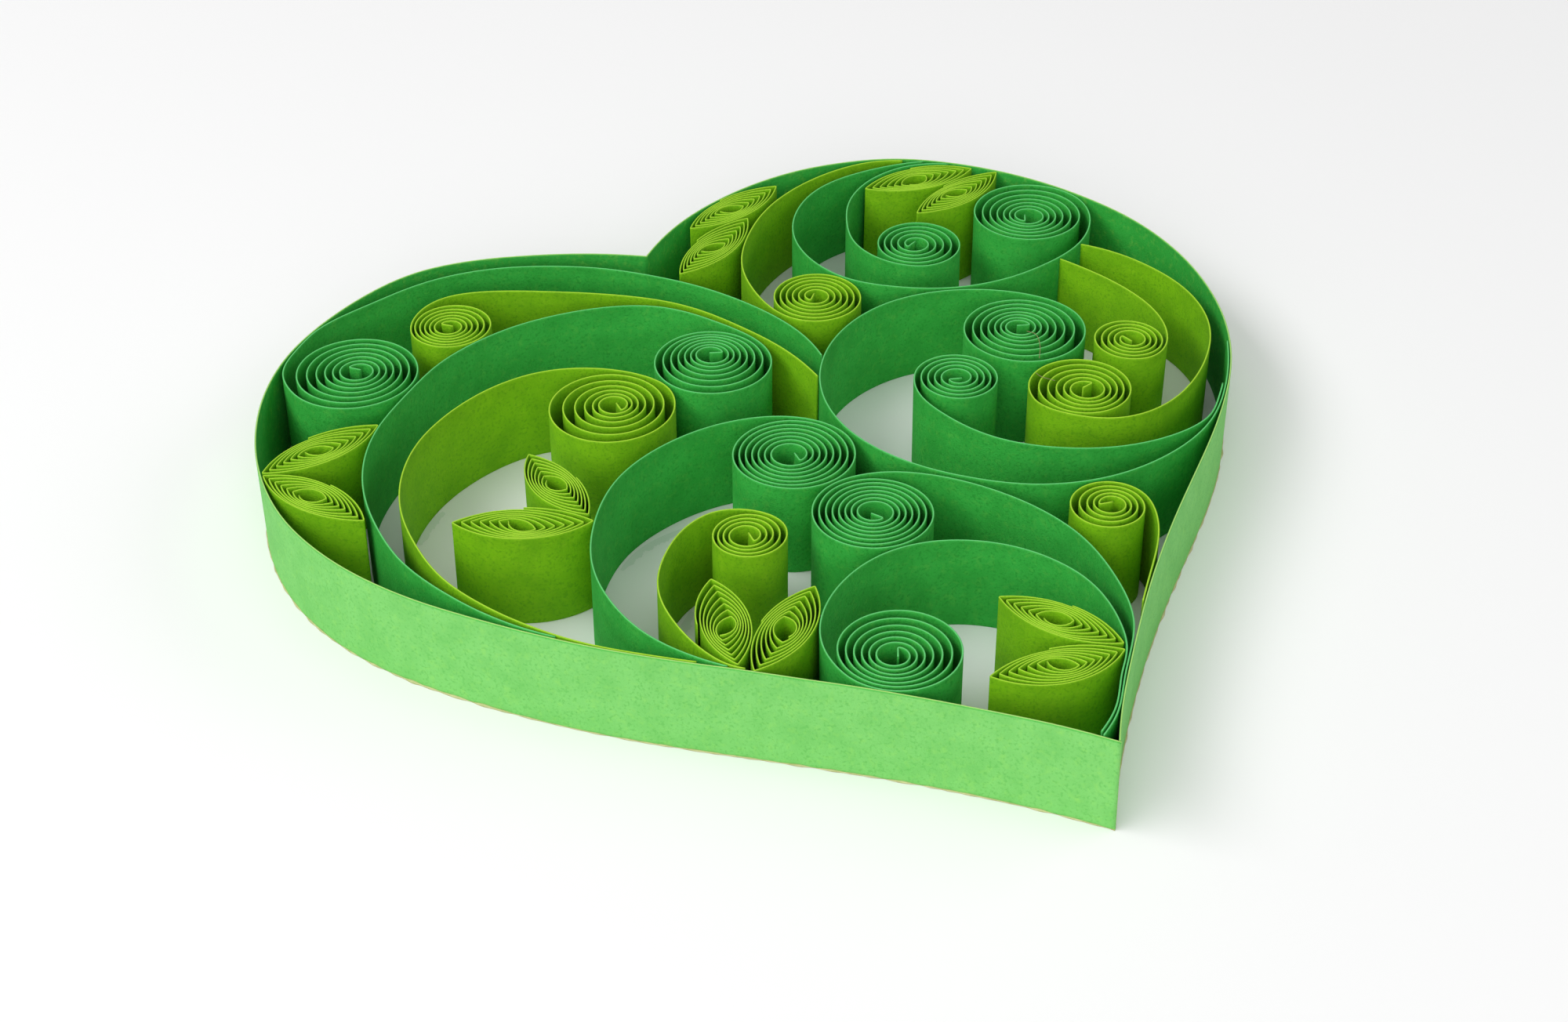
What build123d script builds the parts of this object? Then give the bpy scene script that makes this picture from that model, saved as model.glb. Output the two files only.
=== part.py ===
"""A heart of quilled paper: narrow card strips standing on edge, rolled into scrolls
and pinched coils and glued edge to edge inside a heart-shaped rim.

Millimetres, +Z up. The strips' lower edges stand on Z = 0. The heart's axis of
symmetry is the Y axis, its point at -Y, and the origin is half way along it.
"""

import os
from math import atan2, ceil, cos, degrees, hypot, radians, sin

from build123d import *

STRIP_HEIGHT = 10.0  # width of a quilling strip, which stands on its long edge
PAPER = 0.22  # thickness of the card
GLUE = 0.04  # film of glue between two strips that touch
HALF_LENGTH = 50.0  # from the origin to the heart's point
NOTCH = (0.0, 41.8)  # fold between the two lobes
COIL_STEP = 20.0  # degrees between the points that shape a coil, at most
LEAD_IN = 3  # points of the coil that the tail's curve runs into
TAB_LENGTH = 1.3  # straight end of a strip, where the slotted tool held it
TAB_ANGLE = 115.0  # bend between the innermost turn and that straight end

# The rim's two sides, from the point up to the notch. The right side's end is
# glued against the inner face of the left side's end.
RIM_SIDES = {
    "left": [
        (0.0, -HALF_LENGTH),
        (-4.6, -44.4),
        (-13.3, -35.5),
        (-23.6, -26.3),
        (-34.0, -16.8),
        (-42.2, -7.2),
        (-48.0, 2.0),
        (-51.1, 12.4),
        (-50.8, 22.4),
        (-47.5, 32.5),
        (-41.6, 41.2),
        (-33.0, 47.4),
        (-22.0, 50.6),
        (-11.0, 48.0),
        NOTCH,
    ],
    "right": [
        (0.0, -HALF_LENGTH + 0.25),
        (3.0, -45.7),
        (9.6, -38.1),
        (19.0, -28.8),
        (29.2, -19.9),
        (38.0, -11.9),
        (45.2, -3.0),
        (49.8, 7.2),
        (51.3, 17.5),
        (49.2, 29.3),
        (43.3, 40.2),
        (34.0, 48.2),
        (22.2, 50.7),
        (11.0, 48.5),
        NOTCH,
    ],
}
INWARD = {"left": -90.0, "right": 90.0}  # turn from a side's run to the heart's inside


def against_rim(side, distance, layers=1.0):
    """A point on a strip glued inside the rim: so far along a side from the heart's
    point, and so many thicknesses of paper in from the rim."""
    rim = Spline(*RIM_SIDES[side])
    place = rim.position_at(distance, position_mode=PositionMode.LENGTH)
    run = rim.tangent_at(distance, position_mode=PositionMode.LENGTH)
    point = place + run.rotate(Axis.Z, INWARD[side]) * layers * (PAPER + GLUE)
    return (point.X, point.Y)


# Scrolls: each is one strip, its tail laid from the free end to a loose coil. The coil
# starts at its outer radius and start angle, turns by spin (1 is anticlockwise), drifts
# from its centre to its core, and closes up faster outside than in by its slack.
SCROLLS = {
    "scroll_upper_left": dict(
        tail=[
            (7.0, 15.2),
            (7.2, 19.5),
            (6.1, 25.0),
            (1.0, 34.9),
            (-6.6, 42.7),
            (-15.0, 47.1),
            (-22.6, 48.3),
            (-30.0, 47.0),
            against_rim("left", 119.0),
            against_rim("left", 115.5, 1.2),
            (-42.7, 38.9),
        ],
        centre=(-36.3, 35.4), core=(-35.9, 35.4), radius=6.9, core_radius=1.3,
        turns=6.8, start=180, spin=1, slack=0.25,
    ),
    "scroll_lime_upper_left": dict(
        tail=[
            (4.7, 11.9),
            (4.4, 16.7),
            (2.3, 24.1),
            (-1.0, 30.5),
            (-6.9, 36.4),
            (-13.2, 40.7),
            (-19.2, 43.8),
            (-22.6, 44.3),
            (-26.2, 42.8),
        ],
        centre=(-24.0, 38.95), core=(-24.35, 38.75), radius=4.35, core_radius=1.1,
        turns=5.8, start=180, spin=1, slack=0.1,
    ),
    "scroll_left_middle": dict(
        tail=[
            against_rim("left", 51.2, 1.3),
            against_rim("left", 54.5, 1.6),
            (-42.3, -3.5),
            (-44.1, 3.1),
            (-44.2, 8.1),
            (-43.0, 15.3),
            (-40.5, 21.0),
            (-37.1, 25.4),
            (-32.8, 29.2),
            (-28.0, 32.6),
            (-22.3, 34.8),
            (-15.9, 35.6),
            (-9.4, 34.6),
            (-3.7, 31.8),
            (0.3, 26.3),
            (2.0, 22.8),
        ],
        centre=(-3.6, 19.4), core=(-2.9, 20.7), radius=6.25, core_radius=1.3,
        turns=7.0, start=0, spin=-1, slack=0.3,
    ),
    "scroll_lime_left": dict(
        tail=[
            against_rim("left", 38.0),
            against_rim("left", 43.0),
            against_rim("left", 47.5, 1.1),
            against_rim("left", 51.7, 2.4),
            (-40.1, -6.5),
            (-41.7, -1.3),
            (-42.0, 4.9),
            (-41.0, 11.0),
            (-38.0, 17.1),
            (-33.4, 21.9),
            (-26.6, 25.4),
            (-20.5, 26.2),
            (-15.5, 24.7),
            (-11.4, 21.4),
        ],
        centre=(-16.3, 17.15), core=(-15.6, 17.25), radius=6.75, core_radius=1.25,
        turns=6.2, start=0, spin=-1, slack=0.55,
    ),
    "scroll_centre": dict(
        tail=[
            against_rim("left", 35.2),
            (-26.7, -22.3),
            (-29.1, -16.9),
            (-29.7, -11.5),
            (-28.7, -5.5),
            (-25.3, 0.6),
            (-20.1, 5.8),
            (-14.4, 8.3),
            (-9.1, 9.0),
            (-4.1, 8.1),
            (0.9, 4.4),
        ],
        centre=(-4.1, 1.0), core=(-4.3, 1.0), radius=6.15, core_radius=1.5,
        turns=7.2, start=0, spin=-1, slack=0.05,
    ),
    "scroll_lime_centre": dict(
        tail=[
            against_rim("left", 33.6, 1.1),
            against_rim("left", 35.4, 2.4),
            (-25.4, -22.6),
            (-26.0, -17.2),
            (-25.1, -12.0),
            (-21.9, -7.3),
            (-17.5, -4.3),
            (-15.2, -3.9),
            (-12.0, -5.3),
        ],
        centre=(-14.0, -8.65), core=(-14.25, -8.6), radius=3.65, core_radius=1.25,
        turns=4.2, start=0, spin=-1, slack=0.0,
    ),
    "scroll_lower_centre": dict(
        tail=[
            (-0.8, -48.5),
            (1.6, -46.8),
            against_rim("right", 8.5),
            against_rim("right", 13.0),
            (9.9, -37.0),
            (12.4, -30.2),
            (13.1, -24.2),
            (12.0, -18.1),
            (9.5, -12.8),
            (5.6, -8.3),
            (0.9, -5.6),
        ],
        centre=(-1.9, -11.25), core=(-1.95, -11.2), radius=6.0, core_radius=1.35,
        turns=7.5, start=95, spin=1, slack=0.1,
    ),
    "scroll_point": dict(
        tail=[
            (-0.7, -48.0),
            (2.3, -45.7),
            against_rim("right", 9.0, 2.2),
            against_rim("right", 12.5, 2.4),
            (8.8, -36.6),
            (9.7, -33.0),
            (9.8, -29.5),
            (8.8, -25.7),
            (5.5, -20.9),
            (1.0, -18.1),
            (-4.1, -17.35),
            (-9.3, -18.9),
            (-13.8, -22.6),
            (-15.8, -26.2),
        ],
        centre=(-10.2, -29.9), core=(-11.0, -30.7), radius=6.05, core_radius=1.2,
        turns=6.6, start=180, spin=1, slack=0.2,
    ),
    "scroll_right_middle": dict(
        tail=[
            against_rim("right", 65.5),
            against_rim("right", 61.0),
            against_rim("right", 56.0),
            (34.5, -14.2),
            (30.9, -15.9),
            (27.4, -16.85),
            (23.8, -17.25),
            (20.2, -17.0),
            (13.1, -14.1),
            (8.1, -9.7),
            (4.3, -4.1),
            (2.75, 1.8),
            (3.4, 8.2),
            (6.1, 13.6),
            (10.7, 18.0),
            (15.9, 20.3),
            (21.4, 20.7),
            (26.6, 19.2),
            (31.4, 15.8),
        ],
        centre=(27.8, 9.45), core=(27.8, 10.0), radius=6.6, core_radius=1.2,
        turns=7.0, start=0, spin=-1, slack=0.4,
    ),
    "scroll_right_inner": dict(
        tail=[
            against_rim("right", 57.3, 2.2),
            against_rim("right", 54.5, 2.4),
            (35.6, -13.0),
            (32.7, -14.0),
            (30.2, -14.2),
            (24.9, -13.4),
            (19.1, -10.4),
            (14.5, -5.6),
            (12.4, 0.1),
            (12.2, 4.1),
        ],
        centre=(17.1, 4.8), core=(17.2, 4.85), radius=4.35, core_radius=1.05,
        turns=4.9, start=150, spin=-1, slack=0.0,
    ),
    "scroll_lime_right": dict(
        tail=[
            (39.2, 19.6),
            (40.7, 15.6),
            (41.9, 10.8),
            (42.0, 6.0),
            (40.8, 2.1),
            (38.6, -0.6),
        ],
        centre=(36.5, 2.5), core=(36.6, 2.4), radius=3.85, core_radius=1.1,
        turns=4.4, start=270, spin=-1, slack=0.1,
    ),
    "scroll_lime_right_outer": dict(
        tail=[
            (42.9, 21.1),
            (45.5, 17.1),
            (47.1, 11.9),
            (47.2, 6.3),
            (45.5, 1.1),
            (41.6, -3.9),
            (37.0, -7.5),
            (31.3, -9.5),
            (27.8, -9.2),
            (23.6, -6.3),
        ],
        centre=(27.15, -2.6), core=(27.35, -3.1), radius=5.35, core_radius=1.35,
        turns=5.4, start=180, spin=-1, slack=0.2,
    ),
    "scroll_lime_lower_right": dict(
        tail=[
            against_rim("right", 19.5),
            against_rim("right", 22.5, 1.2),
            (16.6, -30.5),
            (19.9, -26.7),
            (21.7, -23.4),
        ],
        centre=(18.1, -21.05), core=(18.45, -20.9), radius=4.05, core_radius=1.15,
        turns=4.4, start=0, spin=1, slack=0.3,
    ),
    "scroll_lime_upper_right": dict(
        tail=[
            against_rim("right", 122.0, 1.4),
            against_rim("right", 125.0, 1.8),
            (28.0, 48.8),
            (22.2, 47.6),
            (16.6, 44.7),
            (11.8, 40.4),
            (8.1, 34.9),
            (6.9, 30.0),
            (6.8, 26.6),
        ],
        centre=(12.1, 25.5), core=(12.1, 25.7), radius=5.0, core_radius=1.0,
        turns=6.0, start=200, spin=1, slack=0.0,
    ),
    "scroll_upper_right": dict(
        tail=[
            against_rim("right", 119.5, 1.2),
            (33.0, 46.8),
            (27.7, 46.9),
            (22.9, 45.5),
            (18.5, 41.9),
            (15.9, 37.1),
            (15.4, 32.3),
            (17.0, 27.1),
            (20.7, 23.1),
            (25.5, 20.3),
            (31.1, 19.0),
            (37.0, 19.4),
            (42.9, 21.5),
            (47.0, 25.6),
        ],
        centre=(41.7, 29.8), core=(41.2, 29.3), radius=6.5, core_radius=1.3,
        turns=6.6, start=0, spin=1, slack=0.3,
    ),
    "scroll_upper_right_inner": dict(
        tail=[
            against_rim("right", 116.5, 1.2),
            (35.0, 45.6),
            (29.2, 44.7),
            (25.1, 41.5),
            (22.6, 37.4),
            (21.4, 33.7),
            (21.7, 30.2),
            (23.2, 27.3),
        ],
        centre=(27.3, 29.9), core=(27.0, 30.0), radius=4.8, core_radius=1.0,
        turns=4.8, start=250, spin=1, slack=0.0,
    ),
}

# Leaves: tight coils pinched at both ends. The tips, and the bulges to either side of
# the line between them, are those of the outermost turn's inner face. The core is the
# open middle; the creases step in towards it from the tips, passing it by the twist,
# which is positive on the left as the eye looks out from the core.
LEAF_PAPER = 0.16  # thickness of the leaves' softer paper
LEAF_TURNS = 7
LEAF_CLOSING = 0.95  # share of the way in that a crease would have come after every turn
CORE_RISE = 0.6  # what is left of a bulge after every turn
LEAVES = {
    "leaf_left_upper": dict(
        tips=[(-50.37, 22.63), (-37.8, 25.1)], bulges=(2.3, 2.2), core=(-44.4, 23.7), twist=-0.6,
    ),
    "leaf_left_lower": dict(
        tips=[(-50.5, 22.05), (-44.8, 10.9)], bulges=(2.4, 1.98), core=(-47.62, 16.6), twist=0.6,
    ),
    "leaf_hollow_upper": dict(
        tips=[(-26.65, 13.1), (-25.75, 1.5)], bulges=(1.95, 2.4), core=(-26.35, 7.2), twist=0.5,
    ),
    "leaf_hollow_lower": dict(
        tips=[(-37.5, 6.4), (-25.9, 0.3)], bulges=(2.1, 2.7), core=(-32.1, 2.8), twist=-0.8,
    ),
    "leaf_centre_left": dict(
        tips=[(-23.75, -25.1), (-20.25, -13.15)], bulges=(2.4, 2.25), core=(-22.3, -20.0), twist=-0.9,
    ),
    "leaf_centre_right": dict(
        tips=[(-22.8, -26.62), (-12.45, -18.65)], bulges=(2.25, 2.4), core=(-17.4, -22.5), twist=0.9,
    ),
    "leaf_point_upper": dict(
        tips=[(1.5, -28.1), (7.45, -38.75)], bulges=(2.2, 2.05), core=(4.3, -33.3), twist=0.6,
    ),
    "leaf_point_lower": dict(
        tips=[(-5.1, -37.2), (6.95, -39.65)], bulges=(1.98, 2.7), core=(1.4, -38.7), twist=-0.8,
    ),
    "leaf_notch_upper": dict(
        tips=[(7.1, 44.9), (19.6, 48.7)], bulges=(2.05, 2.2), core=(12.9, 46.5), twist=-0.6,
    ),
    "leaf_notch_lower": dict(
        tips=[(1.6, 36.75), (13.4, 43.7)], bulges=(2.15, 2.2), core=(7.15, 40.0), twist=-0.8,
    ),
    "leaf_right_upper": dict(
        tips=[(28.4, 43.4), (41.3, 41.6)], bulges=(2.45, 2.28), core=(34.5, 42.3), twist=0.7,
    ),
    "leaf_right_lower": dict(
        tips=[(30.7, 35.7), (43.35, 39.5)], bulges=(2.0, 2.2), core=(36.9, 37.7), twist=-0.5,
    ),
}


def coil_points(centre, core, radius, core_radius, turns, start, spin, slack):
    """Points along a coil from its outer end to its core, an even number of steps."""
    count = 2 * ceil(turns * 180.0 / COIL_STEP)
    points = []
    for i in range(count + 1):
        part = i / count
        angle = radians(start + spin * 360.0 * turns * part)
        reach = radius - (radius - core_radius) * (part + slack * part * (1.0 - part))
        drift = 1.0 - (1.0 - part) ** 2
        x = centre[0] + (core[0] - centre[0]) * drift + reach * cos(angle)
        y = centre[1] + (core[1] - centre[1]) * drift + reach * sin(angle)
        points.append((x, y))
    return points


def strip_side(points, shift):
    """The points of one face of a strip: its middle line's points, each moved square
    to the line."""
    last = len(points) - 1
    side = []
    for i, (x, y) in enumerate(points):
        back = points[max(i - 1, 0)]
        ahead = points[min(i + 1, last)]
        before = hypot(x - back[0], y - back[1]) or 1.0
        after = hypot(ahead[0] - x, ahead[1] - y) or 1.0
        run_x = (x - back[0]) * after / before + (ahead[0] - x) * before / after
        run_y = (y - back[1]) * after / before + (ahead[1] - y) * before / after
        length = hypot(run_x, run_y)
        side.append((x - run_y / length * shift, y + run_x / length * shift))
    return side


def leaf_half_turns(tips, bulges, core, twist):
    """The inner face of a leaf's strip, from its free end half way along one side in to
    the core, as arcs from crease to crease. Each is its start, middle, end and centre."""
    core = Vector(*core)
    creases = []
    for k in range(2 * LEAF_TURNS + 1):
        tip = Vector(*tips[k % 2])
        aim = core + (tip - core).normalized().rotate(Axis.Z, 90) * twist
        turns_in = max(k - 1, 0) // 2
        creases.append(tip + (aim - tip) * (LEAF_CLOSING * turns_in / LEAF_TURNS))
    half_turns = []
    for k in range(2 * LEAF_TURNS):
        start = creases[k]
        end = creases[k + 1]
        chord = end - start
        out = chord.normalized().rotate(Axis.Z, 90)
        rise = CORE_RISE + (bulges[k % 2] - CORE_RISE) * (1.0 - k // 2 / LEAF_TURNS)
        radius = (chord.length**2 / 4 + rise**2) / (2 * rise)
        centre = (start + end) * 0.5 - out * (radius - rise)
        if k == 0:
            start = centre + out * radius
        towards_middle = ((start - centre) + (end - centre)).normalized()
        half_turns.append((start, centre + towards_middle * radius, end, centre))
    return half_turns


# --- solids

os.makedirs("parts", exist_ok=True)

# The rim: one strip creased outward at the notch. Its ends meet at the point.
with BuildPart() as rim:
    with BuildSketch():
        for points in RIM_SIDES.values():
            with BuildLine():
                face = Spline(*strip_side(points, PAPER / 2))
                other_face = Spline(*strip_side(points, -PAPER / 2))
                Line(face @ 0, other_face @ 0)
                Line(face @ 1, other_face @ 1)
            make_face()
        with Locations(NOTCH):
            Circle(PAPER / 2)
    extrude(amount=STRIP_HEIGHT)
rim.part.label = "rim"
export_step(rim.part, "parts/rim.step")

# The scrolls: a tail and a coil in one strip, with its short bent end in the core.
for name, shape in SCROLLS.items():
    tail = shape.pop("tail")
    points = tail + coil_points(**shape)
    with BuildPart() as scroll:
        with BuildSketch():
            with BuildLine():
                face = strip_side(points, PAPER / 2)
                other_face = strip_side(points, -PAPER / 2)
                for side in (face, other_face):
                    Spline(*side[: len(tail) + LEAD_IN])
                    for i in range(len(tail) + LEAD_IN - 1, len(side) - 1, 2):
                        ThreePointArc(*side[i : i + 3])
                Line(face[0], other_face[0])
                Line(face[-1], other_face[-1])
            make_face()
            bend = Vector(*points[-1])
            run = (bend - Vector(*points[-2])).normalized()
            tab = run.rotate(Axis.Z, shape["spin"] * TAB_ANGLE)
            middle = bend + tab * (TAB_LENGTH / 2)
            with Locations(Location((middle.X, middle.Y), degrees(atan2(tab.Y, tab.X)))):
                Rectangle(TAB_LENGTH, PAPER)
            with Locations(bend):
                Circle(PAPER / 2)
        extrude(amount=STRIP_HEIGHT)
    scroll.part.label = name
    export_step(scroll.part, f"parts/{name}.step")

# The leaves: each strip's inner face is a run of arcs meeting at sharp creases, and its
# outer face the same arcs one thickness of paper out, rounded about each crease.
for name, shape in LEAVES.items():
    half_turns = leaf_half_turns(**shape)
    with BuildPart() as leaf:
        with BuildSketch():
            with BuildLine():
                outer_end = None
                for start, middle, end, centre in half_turns:
                    ThreePointArc(start, middle, end)
                    first = start + (start - centre).normalized() * LEAF_PAPER
                    crest = middle + (middle - centre).normalized() * LEAF_PAPER
                    last = end + (end - centre).normalized() * LEAF_PAPER
                    if outer_end:
                        fold = ((outer_end - start) + (first - start)).normalized()
                        ThreePointArc(outer_end, start + fold * LEAF_PAPER, first)
                    else:
                        Line(start, first)
                    ThreePointArc(first, crest, last)
                    outer_end = last
                Line(end, outer_end)
            make_face()
        extrude(amount=STRIP_HEIGHT)
    leaf.part.label = name
    export_step(leaf.part, f"parts/{name}.step")
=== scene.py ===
"""Looks for the quilled paper heart: strips of dyed card standing on edge, rolled and
glued inside a heart-shaped rim. Shapes are in millimetres and turned to metres as each
mesh is made. The section order is the order of work: rim, scrolls, leaves, glue, fibres.
"""

from math import atan2, ceil, cos, hypot, pi, radians, sin

import bmesh
import bpy
import numpy as np
from mathutils import Matrix, Vector, noise


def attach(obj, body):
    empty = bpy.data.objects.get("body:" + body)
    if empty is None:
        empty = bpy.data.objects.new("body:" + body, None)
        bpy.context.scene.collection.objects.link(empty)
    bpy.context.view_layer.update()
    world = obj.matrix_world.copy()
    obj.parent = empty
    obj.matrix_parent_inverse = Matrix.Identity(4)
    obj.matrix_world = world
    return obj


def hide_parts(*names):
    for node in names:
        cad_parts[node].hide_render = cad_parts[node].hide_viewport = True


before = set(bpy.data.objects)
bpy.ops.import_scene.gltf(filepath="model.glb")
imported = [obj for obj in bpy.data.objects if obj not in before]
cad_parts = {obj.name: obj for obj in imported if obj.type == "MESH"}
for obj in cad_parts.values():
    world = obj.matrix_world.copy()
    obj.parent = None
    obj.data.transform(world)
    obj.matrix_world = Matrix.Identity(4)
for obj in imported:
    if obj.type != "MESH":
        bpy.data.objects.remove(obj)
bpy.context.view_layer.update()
MM = 0.001

# ---------------------------------------------------------------------------
# Dyed quilling card: wood-free paper of 160 to 180 g/m2, dyed through and uncoated. Its
# face is matte with a fine tooth and faint clouds of dye, with a few darker and paler
# fibres. The knife leaves the cut edges paler and slightly furred, and their paleness is
# also a painted highlight where the upper edge catches the light.
# ---------------------------------------------------------------------------


def linear(hex_colour):
    """An sRGB hex colour as linear red, green, blue and alpha."""
    channels = [int(hex_colour[i : i + 2], 16) / 255 for i in (1, 3, 5)]
    return [c / 12.92 if c <= 0.04045 else ((c + 0.055) / 1.055) ** 2.4 for c in channels] + [1.0]


def add_node(tree, kind, sockets=(), **settings):
    """Adds a node, sets its settings, and sets or links its input sockets."""
    made = tree.nodes.new(kind)
    for name, value in settings.items():
        setattr(made, name, value)
    for key, value in dict(sockets).items():
        if isinstance(value, bpy.types.NodeSocket):
            tree.links.new(value, made.inputs[key])
        else:
            made.inputs[key].default_value = value
    return made


def new_material(name):
    """An empty node material, its output, and its texture coordinates in millimetres."""
    material = bpy.data.materials.new(name)
    material.use_nodes = True
    tree = material.node_tree
    tree.nodes.clear()
    output = add_node(tree, "ShaderNodeOutputMaterial")
    place = add_node(tree, "ShaderNodeTexCoord").outputs["Object"]
    millimetres = add_node(tree, "ShaderNodeVectorMath", {0: place, "Scale": 1 / MM}, operation="SCALE")
    return material, tree, output, millimetres.outputs["Vector"]


def plain_material(name, colour, roughness, specular):
    """A material that is the same all over."""
    material, tree, output, _ = new_material(name)
    shader = add_node(
        tree,
        "ShaderNodeBsdfPrincipled",
        {"Base Color": linear(colour), "Roughness": roughness, "Specular IOR Level": specular},
    )
    tree.links.new(shader.outputs["BSDF"], output.inputs["Surface"])
    return material


CLOUD = 2.6  # mm across a cloud of dye
TOOTH = 0.17  # mm across a bump of the paper's tooth, coarser than real so that it shows
FIBRE_FLECK = 0.30  # mm across a dark fleck of fibre
PALE_FLECK = 0.7  # mm across a pale fleck
TOOTH_DEPTH = 0.06  # mm from the top of the tooth to its bottom


def dyed_card(name, face, shade, pale, cut_and_highlight, painted_light_face):
    """Card of one dye: its face, the darker and paler flecks in it, its cut edge, and a paler
    face colour that is painted light, for the rim's lit outside face."""
    material, tree, output, place = new_material(name)

    def spots(size, low, high, detail, seed):
        """How much a noise of this size stands above low, from 0 to 1 at high."""
        moved = add_node(tree, "ShaderNodeVectorMath", {0: place, 1: (seed, seed, seed)}).outputs["Vector"]
        field = add_node(tree, "ShaderNodeTexNoise", {"Vector": moved, "Scale": 1 / size, "Detail": detail})
        return add_node(
            tree,
            "ShaderNodeMapRange",
            {"Value": field.outputs["Fac"], "From Min": low, "From Max": high},
        ).outputs["Result"]

    def mixed(amount, under, over, weight=1.0):
        """One colour laid over another by a mask."""
        share = add_node(tree, "ShaderNodeMath", {0: amount, 1: weight}, operation="MULTIPLY").outputs[0]
        return add_node(
            tree,
            "ShaderNodeMix",
            {"Factor": share, 6: under, 7: over},
            data_type="RGBA",
        ).outputs[2]

    def mask(attribute):
        return add_node(tree, "ShaderNodeAttribute", attribute_name=attribute).outputs["Fac"]

    # The rim's outside face is painted paler: painted highlight for the light that falls on it.
    colour = mixed(mask("painted_light_face"), linear(face), linear(painted_light_face))
    deeper = add_node(
        tree,
        "ShaderNodeMix",
        {"Factor": 1.0, 6: colour, 7: linear(shade)},
        data_type="RGBA",
        blend_type="MULTIPLY",
    ).outputs[2]
    colour = mixed(spots(CLOUD, 0.40, 0.70, 4.0, 0.0), colour, deeper, 0.5)
    colour = mixed(spots(PALE_FLECK, 0.52, 0.78, 2.0, 19.0), colour, linear(pale), 0.22)
    colour = mixed(spots(FIBRE_FLECK, 0.52, 0.68, 3.0, 7.0), colour, deeper, 0.8)
    # Cut edges: paler paper and fur, and partly a painted highlight where the upper edge catches the light.
    colour = mixed(mask("cut_and_highlight_edge"), colour, linear(cut_and_highlight), 0.85)

    tooth = add_node(tree, "ShaderNodeTexNoise", {"Vector": place, "Scale": 1 / TOOTH, "Detail": 3.0})
    bump = add_node(
        tree,
        "ShaderNodeBump",
        {"Strength": 0.8, "Distance": TOOTH_DEPTH * MM, "Height": tooth.outputs["Fac"]},
    )
    shader = add_node(
        tree,
        "ShaderNodeBsdfPrincipled",
        {
            "Base Color": colour,
            "Roughness": 0.78,
            "Specular IOR Level": 0.28,
            "Normal": bump.outputs["Normal"],
        },
    )
    tree.links.new(shader.outputs["BSDF"], output.inputs["Surface"])
    return material


# Each card's cut colour is partly a painted highlight on the upper edge; the rim's is yellower still.
green_card = dyed_card("green_card", "#36B042", "#B4DCC4", "#74C44C", "#6CCE7C", "#36B042")
lime_card = dyed_card("lime_card", "#7EBE06", "#CCDE98", "#A0D024", "#B0DC3C", "#7EBE06")
# rim_card's paler outside-face colour is painted light on the rim's lit outer face.
rim_card = dyed_card("rim_card", "#36B042", "#D4EAD4", "#A2DC5C", "#B4E07C", "#7CCA6A")

# ---------------------------------------------------------------------------
# The rim: one strip on edge, creased outward at the notch and glued end over end at the
# point. Its open face is painted paler than its hidden face: painted highlight for the light on its
# outside.
# ---------------------------------------------------------------------------

HEIGHT = 10.0  # width of a quilling strip, which stands on its long edge
PAPER = 0.22  # thickness of the card, by which the strips are spaced
GLUE = 0.04  # film of glue between two strips that touch
HALF_LENGTH = 50.0
NOTCH = (0.0, 41.8)
STEP = 0.4  # mm between the places along a strip where its section is drawn
EDGE = 0.055  # rounding of a cut edge
SHOWN_PAPER = 0.17  # thickness a strip is drawn at, along the middle of its card
MITRE = 0.6  # least cosine of half a corner that the faces are mitred round
RIM_SIDES = {
    "left": [
        (0.0, -HALF_LENGTH), (-4.6, -44.4), (-13.3, -35.5), (-23.6, -26.3), (-34.0, -16.8),
        (-42.2, -7.2), (-48.0, 2.0), (-51.1, 12.4), (-50.8, 22.4), (-47.5, 32.5), (-41.6, 41.2),
        (-33.0, 47.4), (-22.0, 50.6), (-11.0, 48.0), NOTCH,
    ],
    "right": [
        (0.0, -HALF_LENGTH + 0.25), (3.0, -45.7), (9.6, -38.1), (19.0, -28.8), (29.2, -19.9),
        (38.0, -11.9), (45.2, -3.0), (49.8, 7.2), (51.3, 17.5), (49.2, 29.3), (43.3, 40.2),
        (34.0, 48.2), (22.2, 50.7), (11.0, 48.5), NOTCH,
    ],
}

# A strip's section, from the left face's foot round to the right face's foot: the share
# of the way across, the height, and how much of the cut edge shows there.
BARE = 0.1  # share of the cut edge's paleness where it rounds into a face
FLAT = (0.25, 0.75)  # shares of the way across between which the cut edge is flat
FACE_HEIGHTS = (0.3, 3.4, 6.6, HEIGHT - 0.25)
SECTION = [
    (0.0, EDGE, 0.0),
    *((0.0, height, 0.0) for height in FACE_HEIGHTS),
    (0.0, HEIGHT - EDGE, BARE),
    (FLAT[0], HEIGHT, 1.0),
    (FLAT[1], HEIGHT, 1.0),
    (1.0, HEIGHT - EDGE, BARE),
    *((1.0, height, 0.0) for height in reversed(FACE_HEIGHTS)),
    (1.0, EDGE, 0.0),
    (FLAT[1], 0.0, 1.0),
    (FLAT[0], 0.0, 1.0),
]
SWAY = 0.16  # mm that a strip's upper edge wanders from above its foot
SWAY_SPAN = 16.0  # mm from one lean to the next
UNEVEN = 0.07  # mm that a strip's upper edge rises and falls
UNEVEN_SPAN = 9.0  # mm from one rise to the next
FUR = 0.012  # mm that the fibres along a cut edge stand up
FUR_SPAN = 0.5
SWAY_SEED = 5
noise.seed_set(SWAY_SEED)


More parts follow.
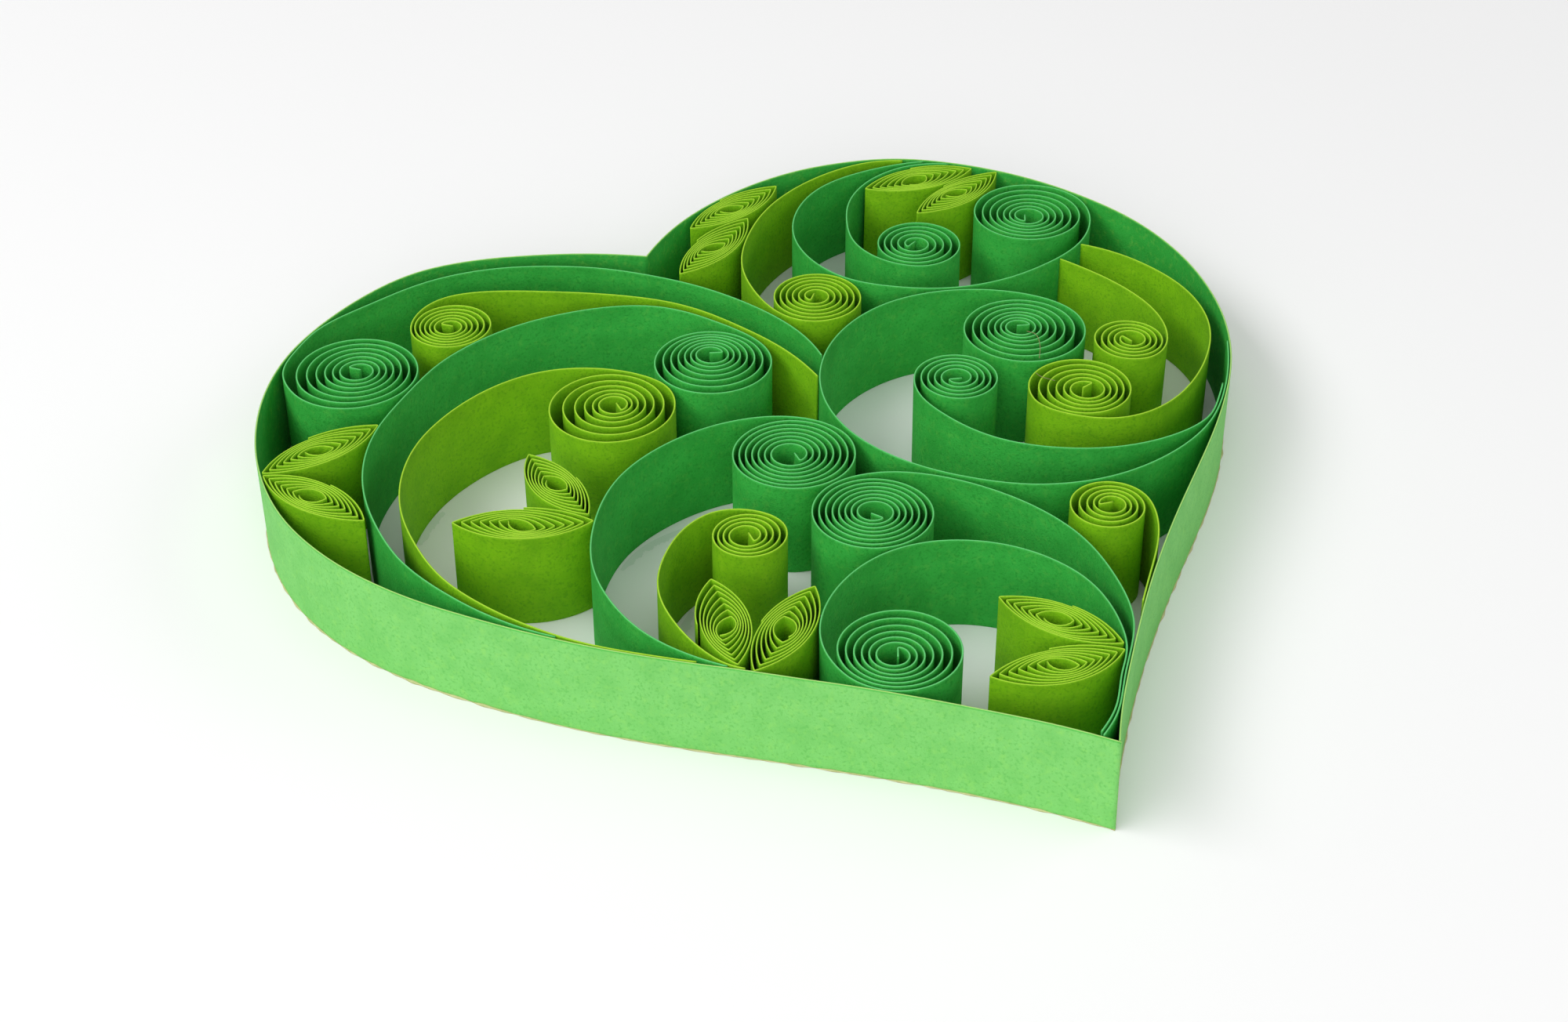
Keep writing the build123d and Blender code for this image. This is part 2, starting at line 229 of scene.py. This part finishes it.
def smooth_line(points, step=STEP):
    """A smooth line through the points (a cubic whose curvature runs on through each),
    as places no more than a step apart."""
    given = np.array(points, float)
    gap = np.hypot(*np.diff(given, axis=0).T)
    rise = np.diff(given, axis=0) / gap[:, None]
    count = len(given)
    system = np.zeros((count, count))
    wanted = np.zeros((count, 2))
    system[0, 0] = system[-1, -1] = 1.0
    wanted[0] = rise[0] + (rise[0] - rise[1]) * gap[0] / (gap[0] + gap[1])
    wanted[-1] = rise[-1] + (rise[-1] - rise[-2]) * gap[-1] / (gap[-1] + gap[-2])
    for i in range(1, count - 1):
        system[i, i - 1 : i + 2] = gap[i], 2 * (gap[i - 1] + gap[i]), gap[i - 1]
        wanted[i] = 3 * (gap[i] * rise[i - 1] + gap[i - 1] * rise[i])
    slope = np.linalg.solve(system, wanted)
    places = []
    for i in range(count - 1):
        steps = max(2, ceil(gap[i] / step))
        for t in np.arange(steps) / steps:
            cubic = (2 * t**3 - 3 * t**2 + 1) * given[i] + (3 * t**2 - 2 * t**3) * given[i + 1]
            places.append(cubic + gap[i] * (t * (1 - t) ** 2 * slope[i] - t**2 * (1 - t) * slope[i + 1]))
    places.append(given[-1])
    return np.array(places)


def faces_of(line, thickness=SHOWN_PAPER):
    """The left and right faces of a strip, as places square to each place of its middle
    line, mitred where the line has a corner."""
    run = np.diff(line, axis=0)
    run /= np.hypot(*run.T)[:, None]
    before = np.vstack([run[:1], run])
    after = np.vstack([run, run[-1:]])
    along = before + after
    along /= np.hypot(*along.T)[:, None]
    mitre = np.clip(np.sum(along * after, axis=1), MITRE, 1.0)
    left = np.column_stack([-along[:, 1], along[:, 0]]) * (thickness / 2 / mitre)[:, None]
    return line + left, line - left


def piece_from(mesh, name):
    """An object of the finished mesh, in the scene."""
    bmesh.ops.recalc_face_normals(mesh, faces=mesh.faces)
    data = bpy.data.meshes.new(name)
    mesh.to_mesh(data)
    mesh.free()
    piece = bpy.data.objects.new(name, data)
    bpy.context.scene.collection.objects.link(piece)
    return piece


def skin(mesh, rings):
    """Closes a row of rings of vertices into a tube with two flat ends."""
    for first, second in zip(rings, rings[1:]):
        for k in range(len(first)):
            following = (k + 1) % len(first)
            mesh.faces.new((first[k], first[following], second[following], second[k])).smooth = True
    mesh.faces.new(rings[0][::-1])
    mesh.faces.new(rings[-1])


def stand_on_edge(name, left, right, seed):
    """A strip's mesh from the plan of its two faces. The seed sets how its upper edge
    wanders. The left face is marked by a mask for the rim, whose outside face is painted paler as painted
    light."""
    mesh = bmesh.new()
    cut_and_highlight = mesh.verts.layers.float.new("cut_and_highlight_edge")
    painted_light_layer = mesh.verts.layers.float.new("painted_light_face")
    rings = []
    walked = 0.0
    for i in range(len(left)):
        if i:
            walked += hypot(*(left[i] + right[i] - left[i - 1] - right[i - 1])) / 2
        uneven = UNEVEN * noise.noise((walked / UNEVEN_SPAN, seed, 0.0))
        fur = FUR * noise.noise((walked / FUR_SPAN, seed, 5.0))
        ring = []
        for across, height, paler in SECTION:
            x, y = left[i] + (right[i] - left[i]) * across
            lean = noise.noise_vector((x / SWAY_SPAN, y / SWAY_SPAN, 3.1)) * SWAY * height / HEIGHT
            z = height + (uneven + fur) * height / HEIGHT
            vert = mesh.verts.new(((x + lean.x) * MM, (y + lean.y) * MM, z * MM))
            vert[cut_and_highlight] = paler
            # Marks the left face, where the rim is painted paler as painted light.
            vert[painted_light_layer] = 1.0 if across < 0.5 and not paler else 0.0
            ring.append(vert)
        rings.append(ring)
    skin(mesh, rings)
    return piece_from(mesh, name)


rim_line = np.vstack([smooth_line(RIM_SIDES["left"]), smooth_line(RIM_SIDES["right"])[-2::-1]])
rim = stand_on_edge("rim_strip", *faces_of(rim_line), seed=1.0)
rim.data.materials.append(rim_card)
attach(rim, "root")
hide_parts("rim")

# ---------------------------------------------------------------------------
# The scrolls: each one strip, its tail laid along the rim or another strip and its end
# rolled into a loose coil round a slotted tool. The slot leaves a short bent end in the
# middle. The heavier curves are green and the lighter ones lime.
# ---------------------------------------------------------------------------

COIL_STEP = 20.0  # degrees between the points that shape a coil, at most
TAB_LENGTH = 1.3  # straight end of a strip, where the slotted tool held it
TAB_ANGLE = 115.0  # bend between the innermost turn and that straight end
TAB_BEND = 0.16  # radius of that bend
BEND_STEPS = 6
TAB_STEPS = 3
INWARD = {"left": -1.0, "right": 1.0}  # side of the rim's run that the heart's inside is on


def against_rim(side, distance, layers=1.0):
    """A point on a strip glued inside the rim: so far along a side from the heart's
    point, and so many thicknesses of paper in from the rim."""
    line = smooth_line(RIM_SIDES[side])
    walked = np.concatenate([[0.0], np.cumsum(np.hypot(*np.diff(line, axis=0).T))])
    i = int(np.searchsorted(walked, distance))
    run = (line[i] - line[i - 1]) / (walked[i] - walked[i - 1])
    inward = np.array([-run[1], run[0]]) * INWARD[side]
    return tuple(line[i - 1] + run * (distance - walked[i - 1]) + inward * layers * (PAPER + GLUE))


SCROLLS = {
    "scroll_upper_left": dict(
        tail=[
            (7.0, 15.2), (7.2, 19.5), (6.1, 25.0), (1.0, 34.9), (-6.6, 42.7), (-15.0, 47.1),
            (-22.6, 48.3), (-30.0, 47.0), against_rim("left", 119.0),
            against_rim("left", 115.5, 1.2), (-42.7, 38.9),
        ],
        centre=(-36.3, 35.4), core=(-35.9, 35.4), radius=6.9, core_radius=1.3,
        turns=6.8, start=180, spin=1, slack=0.25,
    ),
    "scroll_lime_upper_left": dict(
        tail=[
            (4.7, 11.9), (4.4, 16.7), (2.3, 24.1), (-1.0, 30.5), (-6.9, 36.4), (-13.2, 40.7),
            (-19.2, 43.8), (-22.6, 44.3), (-26.2, 42.8),
        ],
        centre=(-24.0, 38.95), core=(-24.35, 38.75), radius=4.35, core_radius=1.1,
        turns=5.8, start=180, spin=1, slack=0.1,
    ),
    "scroll_left_middle": dict(
        tail=[
            against_rim("left", 51.2, 1.3), against_rim("left", 54.5, 1.6), (-42.3, -3.5),
            (-44.1, 3.1), (-44.2, 8.1), (-43.0, 15.3), (-40.5, 21.0), (-37.1, 25.4),
            (-32.8, 29.2), (-28.0, 32.6), (-22.3, 34.8), (-15.9, 35.6), (-9.4, 34.6),
            (-3.7, 31.8), (0.3, 26.3), (2.0, 22.8),
        ],
        centre=(-3.6, 19.4), core=(-2.9, 20.7), radius=6.25, core_radius=1.3,
        turns=7.0, start=0, spin=-1, slack=0.3,
    ),
    "scroll_lime_left": dict(
        tail=[
            against_rim("left", 38.0), against_rim("left", 43.0),
            against_rim("left", 47.5, 1.1), against_rim("left", 51.7, 2.4), (-40.1, -6.5),
            (-41.7, -1.3), (-42.0, 4.9), (-41.0, 11.0), (-38.0, 17.1), (-33.4, 21.9),
            (-26.6, 25.4), (-20.5, 26.2), (-15.5, 24.7), (-11.4, 21.4),
        ],
        centre=(-16.3, 17.15), core=(-15.6, 17.25), radius=6.75, core_radius=1.25,
        turns=6.2, start=0, spin=-1, slack=0.55,
    ),
    "scroll_centre": dict(
        tail=[
            against_rim("left", 35.2), (-26.7, -22.3), (-29.1, -16.9), (-29.7, -11.5),
            (-28.7, -5.5), (-25.3, 0.6), (-20.1, 5.8), (-14.4, 8.3), (-9.1, 9.0), (-4.1, 8.1),
            (0.9, 4.4),
        ],
        centre=(-4.1, 1.0), core=(-4.3, 1.0), radius=6.15, core_radius=1.5,
        turns=7.2, start=0, spin=-1, slack=0.05,
    ),
    "scroll_lime_centre": dict(
        tail=[
            against_rim("left", 33.6, 1.1), against_rim("left", 35.4, 2.4), (-25.4, -22.6),
            (-26.0, -17.2), (-25.1, -12.0), (-21.9, -7.3), (-17.5, -4.3), (-15.2, -3.9),
            (-12.0, -5.3),
        ],
        centre=(-14.0, -8.65), core=(-14.25, -8.6), radius=3.65, core_radius=1.25,
        turns=4.2, start=0, spin=-1, slack=0.0,
    ),
    "scroll_lower_centre": dict(
        tail=[
            (-0.8, -48.5), (1.6, -46.8), against_rim("right", 8.5), against_rim("right", 13.0),
            (9.9, -37.0), (12.4, -30.2), (13.1, -24.2), (12.0, -18.1), (9.5, -12.8),
            (5.6, -8.3), (0.9, -5.6),
        ],
        centre=(-1.9, -11.25), core=(-1.95, -11.2), radius=6.0, core_radius=1.35,
        turns=7.5, start=95, spin=1, slack=0.1,
    ),
    "scroll_point": dict(
        tail=[
            (-0.7, -48.0), (2.3, -45.7), against_rim("right", 9.0, 2.2),
            against_rim("right", 12.5, 2.4), (8.8, -36.6), (9.7, -33.0), (9.8, -29.5),
            (8.8, -25.7), (5.5, -20.9), (1.0, -18.1), (-4.1, -17.35), (-9.3, -18.9),
            (-13.8, -22.6), (-15.8, -26.2),
        ],
        centre=(-10.2, -29.9), core=(-11.0, -30.7), radius=6.05, core_radius=1.2,
        turns=6.6, start=180, spin=1, slack=0.2,
    ),
    "scroll_right_middle": dict(
        tail=[
            against_rim("right", 65.5), against_rim("right", 61.0), against_rim("right", 56.0),
            (34.5, -14.2), (30.9, -15.9), (27.4, -16.85), (23.8, -17.25), (20.2, -17.0),
            (13.1, -14.1), (8.1, -9.7), (4.3, -4.1), (2.75, 1.8), (3.4, 8.2), (6.1, 13.6),
            (10.7, 18.0), (15.9, 20.3), (21.4, 20.7), (26.6, 19.2), (31.4, 15.8),
        ],
        centre=(27.8, 9.45), core=(27.8, 10.0), radius=6.6, core_radius=1.2,
        turns=7.0, start=0, spin=-1, slack=0.4,
    ),
    "scroll_right_inner": dict(
        tail=[
            against_rim("right", 57.3, 2.2), against_rim("right", 54.5, 2.4), (35.6, -13.0),
            (32.7, -14.0), (30.2, -14.2), (24.9, -13.4), (19.1, -10.4), (14.5, -5.6),
            (12.4, 0.1), (12.2, 4.1),
        ],
        centre=(17.1, 4.8), core=(17.2, 4.85), radius=4.35, core_radius=1.05,
        turns=4.9, start=150, spin=-1, slack=0.0,
    ),
    "scroll_lime_right": dict(
        tail=[
            (39.2, 19.6), (40.7, 15.6), (41.9, 10.8), (42.0, 6.0), (40.8, 2.1), (38.6, -0.6),
        ],
        centre=(36.5, 2.5), core=(36.6, 2.4), radius=3.85, core_radius=1.1,
        turns=4.4, start=270, spin=-1, slack=0.1,
    ),
    "scroll_lime_right_outer": dict(
        tail=[
            (42.9, 21.1), (45.5, 17.1), (47.1, 11.9), (47.2, 6.3), (45.5, 1.1), (41.6, -3.9),
            (37.0, -7.5), (31.3, -9.5), (27.8, -9.2), (23.6, -6.3),
        ],
        centre=(27.15, -2.6), core=(27.35, -3.1), radius=5.35, core_radius=1.35,
        turns=5.4, start=180, spin=-1, slack=0.2,
    ),
    "scroll_lime_lower_right": dict(
        tail=[
            against_rim("right", 19.5), against_rim("right", 22.5, 1.2), (16.6, -30.5),
            (19.9, -26.7), (21.7, -23.4),
        ],
        centre=(18.1, -21.05), core=(18.45, -20.9), radius=4.05, core_radius=1.15,
        turns=4.4, start=0, spin=1, slack=0.3,
    ),
    "scroll_lime_upper_right": dict(
        tail=[
            against_rim("right", 122.0, 1.4), against_rim("right", 125.0, 1.8), (28.0, 48.8),
            (22.2, 47.6), (16.6, 44.7), (11.8, 40.4), (8.1, 34.9), (6.9, 30.0), (6.8, 26.6),
        ],
        centre=(12.1, 25.5), core=(12.1, 25.7), radius=5.0, core_radius=1.0,
        turns=6.0, start=200, spin=1, slack=0.0,
    ),
    "scroll_upper_right": dict(
        tail=[
            against_rim("right", 119.5, 1.2), (33.0, 46.8), (27.7, 46.9), (22.9, 45.5),
            (18.5, 41.9), (15.9, 37.1), (15.4, 32.3), (17.0, 27.1), (20.7, 23.1), (25.5, 20.3),
            (31.1, 19.0), (37.0, 19.4), (42.9, 21.5), (47.0, 25.6),
        ],
        centre=(41.7, 29.8), core=(41.2, 29.3), radius=6.5, core_radius=1.3,
        turns=6.6, start=0, spin=1, slack=0.3,
    ),
    "scroll_upper_right_inner": dict(
        tail=[
            against_rim("right", 116.5, 1.2), (35.0, 45.6), (29.2, 44.7), (25.1, 41.5),
            (22.6, 37.4), (21.4, 33.7), (21.7, 30.2), (23.2, 27.3),
        ],
        centre=(27.3, 29.9), core=(27.0, 30.0), radius=4.8, core_radius=1.0,
        turns=4.8, start=250, spin=1, slack=0.0,
    ),
}


def coil_points(centre, core, radius, core_radius, turns, start, spin, slack):
    """Points along a coil from its outer end to its core, an even number of steps."""
    count = 2 * ceil(turns * 180.0 / COIL_STEP)
    points = []
    for i in range(count + 1):
        part = i / count
        angle = radians(start + spin * 360.0 * turns * part)
        reach = radius - (radius - core_radius) * (part + slack * part * (1.0 - part))
        drift = 1.0 - (1.0 - part) ** 2
        x = centre[0] + (core[0] - centre[0]) * drift + reach * cos(angle)
        y = centre[1] + (core[1] - centre[1]) * drift + reach * sin(angle)
        points.append((x, y))
    return points


def bent_end(line, spin):
    """The places of the short end beyond a coil's last turn, bent in across the core."""
    place = line[-1]
    run = place - line[-2]
    heading = atan2(run[1], run[0])
    turn = radians(TAB_ANGLE) / BEND_STEPS
    places = []
    for _ in range(BEND_STEPS):
        heading += spin * turn
        place = place + TAB_BEND * turn * np.array([cos(heading), sin(heading)])
        places.append(place)
    for _ in range(TAB_STEPS):
        place = place + (TAB_LENGTH - TAB_BEND) / TAB_STEPS * np.array([cos(heading), sin(heading)])
        places.append(place)
    return places


for number, (name, shape) in enumerate(SCROLLS.items()):
    tail = shape.pop("tail")
    line = smooth_line(tail + coil_points(**shape))
    line = np.vstack([line, bent_end(line, shape["spin"])])
    scroll = stand_on_edge(name + "_strip", *faces_of(line), seed=3.0 + number)
    lime = "lime" in name
    scroll.data.attributes.remove(scroll.data.attributes["painted_light_face"])
    scroll.data.materials.append(lime_card if lime else green_card)
    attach(scroll, "root")
    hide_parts(name)

# ---------------------------------------------------------------------------
# The leaves: lime strips rolled into a coil, let go a little, and pinched to a point at
# both ends, so each turn is two bowed sides meeting at two sharp creases.
# ---------------------------------------------------------------------------

CREASE = 0.02  # radius of a crease on its inside
LEAF_PAPER = 0.16  # thickness of the leaves' softer paper
LEAF_TURNS = 7
LEAF_CLOSING = 0.95  # share of the way in that a crease would have come after every turn
CORE_RISE = 0.6  # what is left of a bulge after every turn
LEAVES = {
    "leaf_left_upper": dict(
        tips=[(-50.37, 22.63), (-37.8, 25.1)], bulges=(2.3, 2.2), core=(-44.4, 23.7), twist=-0.6,
    ),
    "leaf_left_lower": dict(
        tips=[(-50.5, 22.05), (-44.8, 10.9)], bulges=(2.4, 1.98), core=(-47.62, 16.6), twist=0.6,
    ),
    "leaf_hollow_upper": dict(
        tips=[(-26.65, 13.1), (-25.75, 1.5)], bulges=(1.95, 2.4), core=(-26.35, 7.2), twist=0.5,
    ),
    "leaf_hollow_lower": dict(
        tips=[(-37.5, 6.4), (-25.9, 0.3)], bulges=(2.1, 2.7), core=(-32.1, 2.8), twist=-0.8,
    ),
    "leaf_centre_left": dict(
        tips=[(-23.75, -25.1), (-20.25, -13.15)], bulges=(2.4, 2.25), core=(-22.3, -20.0), twist=-0.9,
    ),
    "leaf_centre_right": dict(
        tips=[(-22.8, -26.62), (-12.45, -18.65)], bulges=(2.25, 2.4), core=(-17.4, -22.5), twist=0.9,
    ),
    "leaf_point_upper": dict(
        tips=[(1.5, -28.1), (7.45, -38.75)], bulges=(2.2, 2.05), core=(4.3, -33.3), twist=0.6,
    ),
    "leaf_point_lower": dict(
        tips=[(-5.1, -37.2), (6.95, -39.65)], bulges=(1.98, 2.7), core=(1.4, -38.7), twist=-0.8,
    ),
    "leaf_notch_upper": dict(
        tips=[(7.1, 44.9), (19.6, 48.7)], bulges=(2.05, 2.2), core=(12.9, 46.5), twist=-0.6,
    ),
    "leaf_notch_lower": dict(
        tips=[(1.6, 36.75), (13.4, 43.7)], bulges=(2.15, 2.2), core=(7.15, 40.0), twist=-0.8,
    ),
    "leaf_right_upper": dict(
        tips=[(28.4, 43.4), (41.3, 41.6)], bulges=(2.45, 2.28), core=(34.5, 42.3), twist=0.7,
    ),
    "leaf_right_lower": dict(
        tips=[(30.7, 35.7), (43.35, 39.5)], bulges=(2.0, 2.2), core=(36.9, 37.7), twist=-0.5,
    ),
}


def leaf_faces(tips, bulges, core, twist):
    """The inner and outer faces of a leaf's strip in plan, from its free end half way
    along one side in to the core."""
    core = np.array(core)
    creases = []
    for k in range(2 * LEAF_TURNS + 1):
        tip = np.array(tips[k % 2])
        outward = (tip - core) / hypot(*(tip - core))
        aim = core + np.array([-outward[1], outward[0]]) * twist
        turns_in = max(k - 1, 0) // 2
        creases.append(tip + (aim - tip) * LEAF_CLOSING * turns_in / LEAF_TURNS)
    inner = []
    outer = []
    for k in range(2 * LEAF_TURNS):
        start, end = creases[k], creases[k + 1]
        chord = end - start
        length = hypot(*chord)
        out = np.array([-chord[1], chord[0]]) / length
        rise = CORE_RISE + (bulges[k % 2] - CORE_RISE) * (1.0 - k // 2 / LEAF_TURNS)
        radius = (length**2 / 4 + rise**2) / (2 * rise)
        centre = (start + end) / 2 + out * (rise - radius)
        if k == 0:
            start = centre + out * radius
        first = atan2(*(start - centre)[::-1])
        swing = (atan2(*(end - centre)[::-1]) - first + pi) % (2 * pi) - pi
        if k:
            turn = (first - last + pi) % (2 * pi) - pi
            for part in (0.2, 0.4, 0.6, 0.8):
                facing = np.array([cos(last + turn * part), sin(last + turn * part)])
                inner.append(start + facing * CREASE)
                outer.append(start + facing * LEAF_PAPER)
        steps = max(6, ceil(length / STEP))
        for i in range(steps + 1):
            facing = np.array([cos(first + swing * i / steps), sin(first + swing * i / steps)])
            inner.append(centre + facing * (radius + CREASE))
            outer.append(centre + facing * (radius + LEAF_PAPER))
        last = first + swing
    return inner, outer


for number, (name, shape) in enumerate(LEAVES.items()):
    leaf = stand_on_edge(name + "_strip", *leaf_faces(**shape), seed=30.0 + number)
    leaf.data.attributes.remove(leaf.data.attributes["painted_light_face"])
    leaf.data.materials.append(lime_card)
    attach(leaf, "root")
    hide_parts(name)

# ---------------------------------------------------------------------------
# Craft glue: a thin uneven bead of dried PVA along the rim's outer foot, yellowed and
# half clear, where the strip was stuck down and its paper drew the glue up.
# ---------------------------------------------------------------------------

CLOT = 0.9  # mm across a thicker patch of glue
glue, tree, output, place = new_material("dried_pva_glue")
clot = add_node(
    tree,
    "ShaderNodeTexNoise",
    {"Vector": place, "Scale": 1 / CLOT, "Detail": 2.0},
).outputs["Fac"]
glue_colour = add_node(
    tree,
    "ShaderNodeMix",
    {"Factor": clot, 6: linear("#8F9A4E"), 7: linear("#D9D6A0")},
    data_type="RGBA",
).outputs[2]
shader = add_node(
    tree,
    "ShaderNodeBsdfPrincipled",
    {"Base Color": glue_colour, "Roughness": 0.35, "Specular IOR Level": 0.45},
)
tree.links.new(shader.outputs["BSDF"], output.inputs["Surface"])

BEAD = 0.13  # mm, mean size of the bead
BEAD_SPAN = 1.6  # mm from one swelling of the bead to the next
BEAD_DRIFT = 14.0  # mm from one fuller stretch of the bead to the next
BEAD_LEAST = 0.15  # share of its mean size that the bead thins to
BEAD_LIFT = 0.01  # mm between the bead and the surface it stands on
BEAD_ANGLES = (-8, 22, 52, 82, 130)  # degrees up from the ground, round the bead
outer_foot = faces_of(rim_line)[0]
away = faces_of(rim_line, 2.0)[0] - rim_line
mesh = bmesh.new()
rings = []
for i in range(len(outer_foot)):
    along = i * STEP
    swell = noise.noise((along / BEAD_SPAN, 2.0, 8.0)) + 0.6 * noise.noise((along / BEAD_DRIFT, 4.0, 2.0))
    size = BEAD * max(BEAD_LEAST, 0.75 + 1.3 * swell)
    ring = []
    for angle in BEAD_ANGLES:
        reach = size * cos(radians(angle))
        lift = max(0.0, size * sin(radians(angle)))
        x, y = outer_foot[i] + away[i] * reach
        ring.append(mesh.verts.new((x * MM, y * MM, (lift + BEAD_LIFT) * MM)))
    rings.append(ring)
skin(mesh, rings)
bead = piece_from(mesh, "rim_glue")
bead.data.materials.append(glue)
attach(bead, "root")

# ---------------------------------------------------------------------------
# Films of the same glue that crept out from under the strips' inner feet and dried clear
# and thin, with ragged edges. Each runs along a foot and ends in nothing.
# ---------------------------------------------------------------------------

clear_glue = plain_material("clear_glue_film", "#E8EEEA", 0.3, 0.5)

FILM_FEET = {
    "glue_film_left": [(-37.1, 17.3), (-36.2, 18.9), (-34.6, 20.4), (-33.0, 21.3)],
    "glue_film_outer": [(-42.2, 14.6), (-41.9, 17.0), (-40.9, 19.2)],
    "glue_film_centre": [(-21.4, 3.9), (-19.6, 5.3), (-17.3, 6.4), (-14.9, 6.9), (-12.6, 7.0)],
    "glue_film_lime": [(-22.4, -9.7), (-21.2, -7.9), (-19.7, -6.4), (-18.3, -5.3)],
}
FILM_WIDTH = 0.7  # mm that a film reaches out from the foot, on the whole
FILM_LEAST = 0.04
FILM_DEPTH = 0.04  # mm deep under the foot, thinning to FILM_RIM at the ragged edge
FILM_RIM = 0.01
FILM_TUCK = 0.3  # mm that a film reaches in under the foot
FILM_STEP = 0.12
FILM_LOBE = 0.9  # mm from one lobe of the ragged edge to the next
FILM_NICK = 0.25  # mm from one nick in a lobe to the next
for number, (name, feet) in enumerate(FILM_FEET.items()):
    line = smooth_line(feet, FILM_STEP)
    into = line - faces_of(line, 2.0)[1]
    mesh = bmesh.new()
    strip = []
    for i, (x, y) in enumerate(line):
        fade = max(0.0, sin(pi * i / (len(line) - 1))) ** 0.5
        lobe = noise.noise((x / FILM_LOBE, y / FILM_LOBE, number))
        nick = noise.noise((x / FILM_NICK, y / FILM_NICK, 7.0))
        reach = max(FILM_LEAST, FILM_WIDTH * fade * (0.75 + 0.7 * lobe + 0.4 * nick))
        under = Vector((*(line[i] + into[i] * FILM_TUCK), FILM_DEPTH)) * MM
        edge = Vector((*(line[i] - into[i] * reach), FILM_RIM)) * MM
        strip.append((mesh.verts.new(under), mesh.verts.new(edge)))
    for first, second in zip(strip, strip[1:]):
        mesh.faces.new((first[0], first[1], second[1], second[0])).smooth = True
    film = piece_from(mesh, name)
    film.data.materials.append(clear_glue)
    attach(film, "root")

# ---------------------------------------------------------------------------
# Two stray paper fibres caught on the cut edges of the right-hand coils.
# ---------------------------------------------------------------------------

fluff = plain_material("paper_fibre", "#8A8458", 0.7, 0.5)

FIBRE_RADIUS = 0.035
FIBRES = {
    "stray_fibre_long": [(27.9, 8.7, 10.1), (28.0, 7.2, 10.5), (27.3, 5.3, 10.4), (26.2, 3.7, 10.1)],
    "stray_fibre_short": [(24.4, 1.5, 10.1), (24.3, 0.2, 10.4), (25.3, -0.6, 10.1)],
}
for name, bends in FIBRES.items():
    curve = bpy.data.curves.new(name, "CURVE")
    curve.dimensions = "3D"
    curve.bevel_depth = FIBRE_RADIUS * MM
    curve.bevel_resolution = 1
    curve.resolution_u = 6
    spline = curve.splines.new("BEZIER")
    spline.bezier_points.add(len(bends) - 1)
    for knot, (x, y, z) in zip(spline.bezier_points, bends):
        knot.co = Vector((x, y, z)) * MM
        knot.handle_left_type = knot.handle_right_type = "AUTO"
    hair = bpy.data.objects.new(name, curve)
    bpy.context.scene.collection.objects.link(hair)
    bpy.context.view_layer.update()
    fibre_mesh = bpy.data.meshes.new_from_object(hair)
    bpy.data.objects.remove(hair)
    fibre = bpy.data.objects.new(name, fibre_mesh)
    bpy.context.scene.collection.objects.link(fibre)
    fibre.data.materials.clear()
    fibre.data.materials.append(fluff)
    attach(fibre, "root")

# ---------------------------------------------------------------------------
# The sheet of white card it stands on, the lamps and the camera.
# ---------------------------------------------------------------------------

SHEET_SIZE = 4.0  # m
SHEET_DROP = 0.02  # mm that the sheet lies below the strips' feet
bpy.ops.mesh.primitive_plane_add(size=SHEET_SIZE, location=(0.0, 0.0, -SHEET_DROP * MM))
floor = bpy.context.object
floor.name = "floor"
floor.data.materials.append(plain_material("white_sheet", "#FAFAFA", 0.9, 0.1))

ROOM_LIGHT = 0.22
world = bpy.data.worlds.new("studio")
bpy.context.scene.world = world
world.use_nodes = True
world.node_tree.nodes["Background"].inputs["Color"].default_value = linear("#FFFFFF")
world.node_tree.nodes["Background"].inputs["Strength"].default_value = ROOM_LIGHT


def softbox(name, azimuth, elevation, distance, width, height, power):
    """A wide soft lamp aimed at the middle of the heart: degrees, metres and watts."""
    data = bpy.data.lights.new(name, "AREA")
    data.shape = "RECTANGLE"
    data.size = width
    data.size_y = height
    data.energy = power
    lamp = bpy.data.objects.new(name, data)
    bpy.context.scene.collection.objects.link(lamp)
    a, e = radians(azimuth), radians(elevation)
    lamp.location = Vector((cos(a) * cos(e), sin(a) * cos(e), sin(e))) * distance
    lamp.rotation_euler = lamp.location.to_track_quat("Z", "Y").to_euler()


softbox("window_softbox", 168.0, 46.0, 0.95, 1.0, 0.35, 5.0)
softbox("front_reflector", 236.0, 26.0, 1.1, 1.2, 0.5, 6.0)
softbox("ceiling_softbox", 200.0, 84.0, 1.2, 1.4, 1.4, 4.0)
softbox("right_reflector", 345.0, 30.0, 1.2, 1.0, 0.6, 2.6)

CAMERA_AT = (-105.14, -186.03, 157.5)  # mm
LOOKS_DOWN = 36.0  # degrees
TURNED = 28.16  # degrees clockwise from +Y
TILTED = -0.35
LENS = 60.97  # mm, for a sensor 36 mm wide
SENSOR = 36.0
camera_data = bpy.data.cameras.new("camera")
camera_data.lens = LENS
camera_data.sensor_width = SENSOR
camera_data.clip_start = 0.01
camera = bpy.data.objects.new("camera", camera_data)
bpy.context.scene.collection.objects.link(camera)
turned = Matrix.Rotation(radians(-TURNED), 4, "Z")
tipped = Matrix.Rotation(radians(90.0 - LOOKS_DOWN), 4, "X")
tilted = Matrix.Rotation(radians(TILTED), 4, "Z")
camera.matrix_world = Matrix.Translation(Vector(CAMERA_AT) * MM) @ turned @ tipped @ tilted
bpy.context.scene.camera = camera

bpy.context.scene.view_settings.view_transform = "Standard"
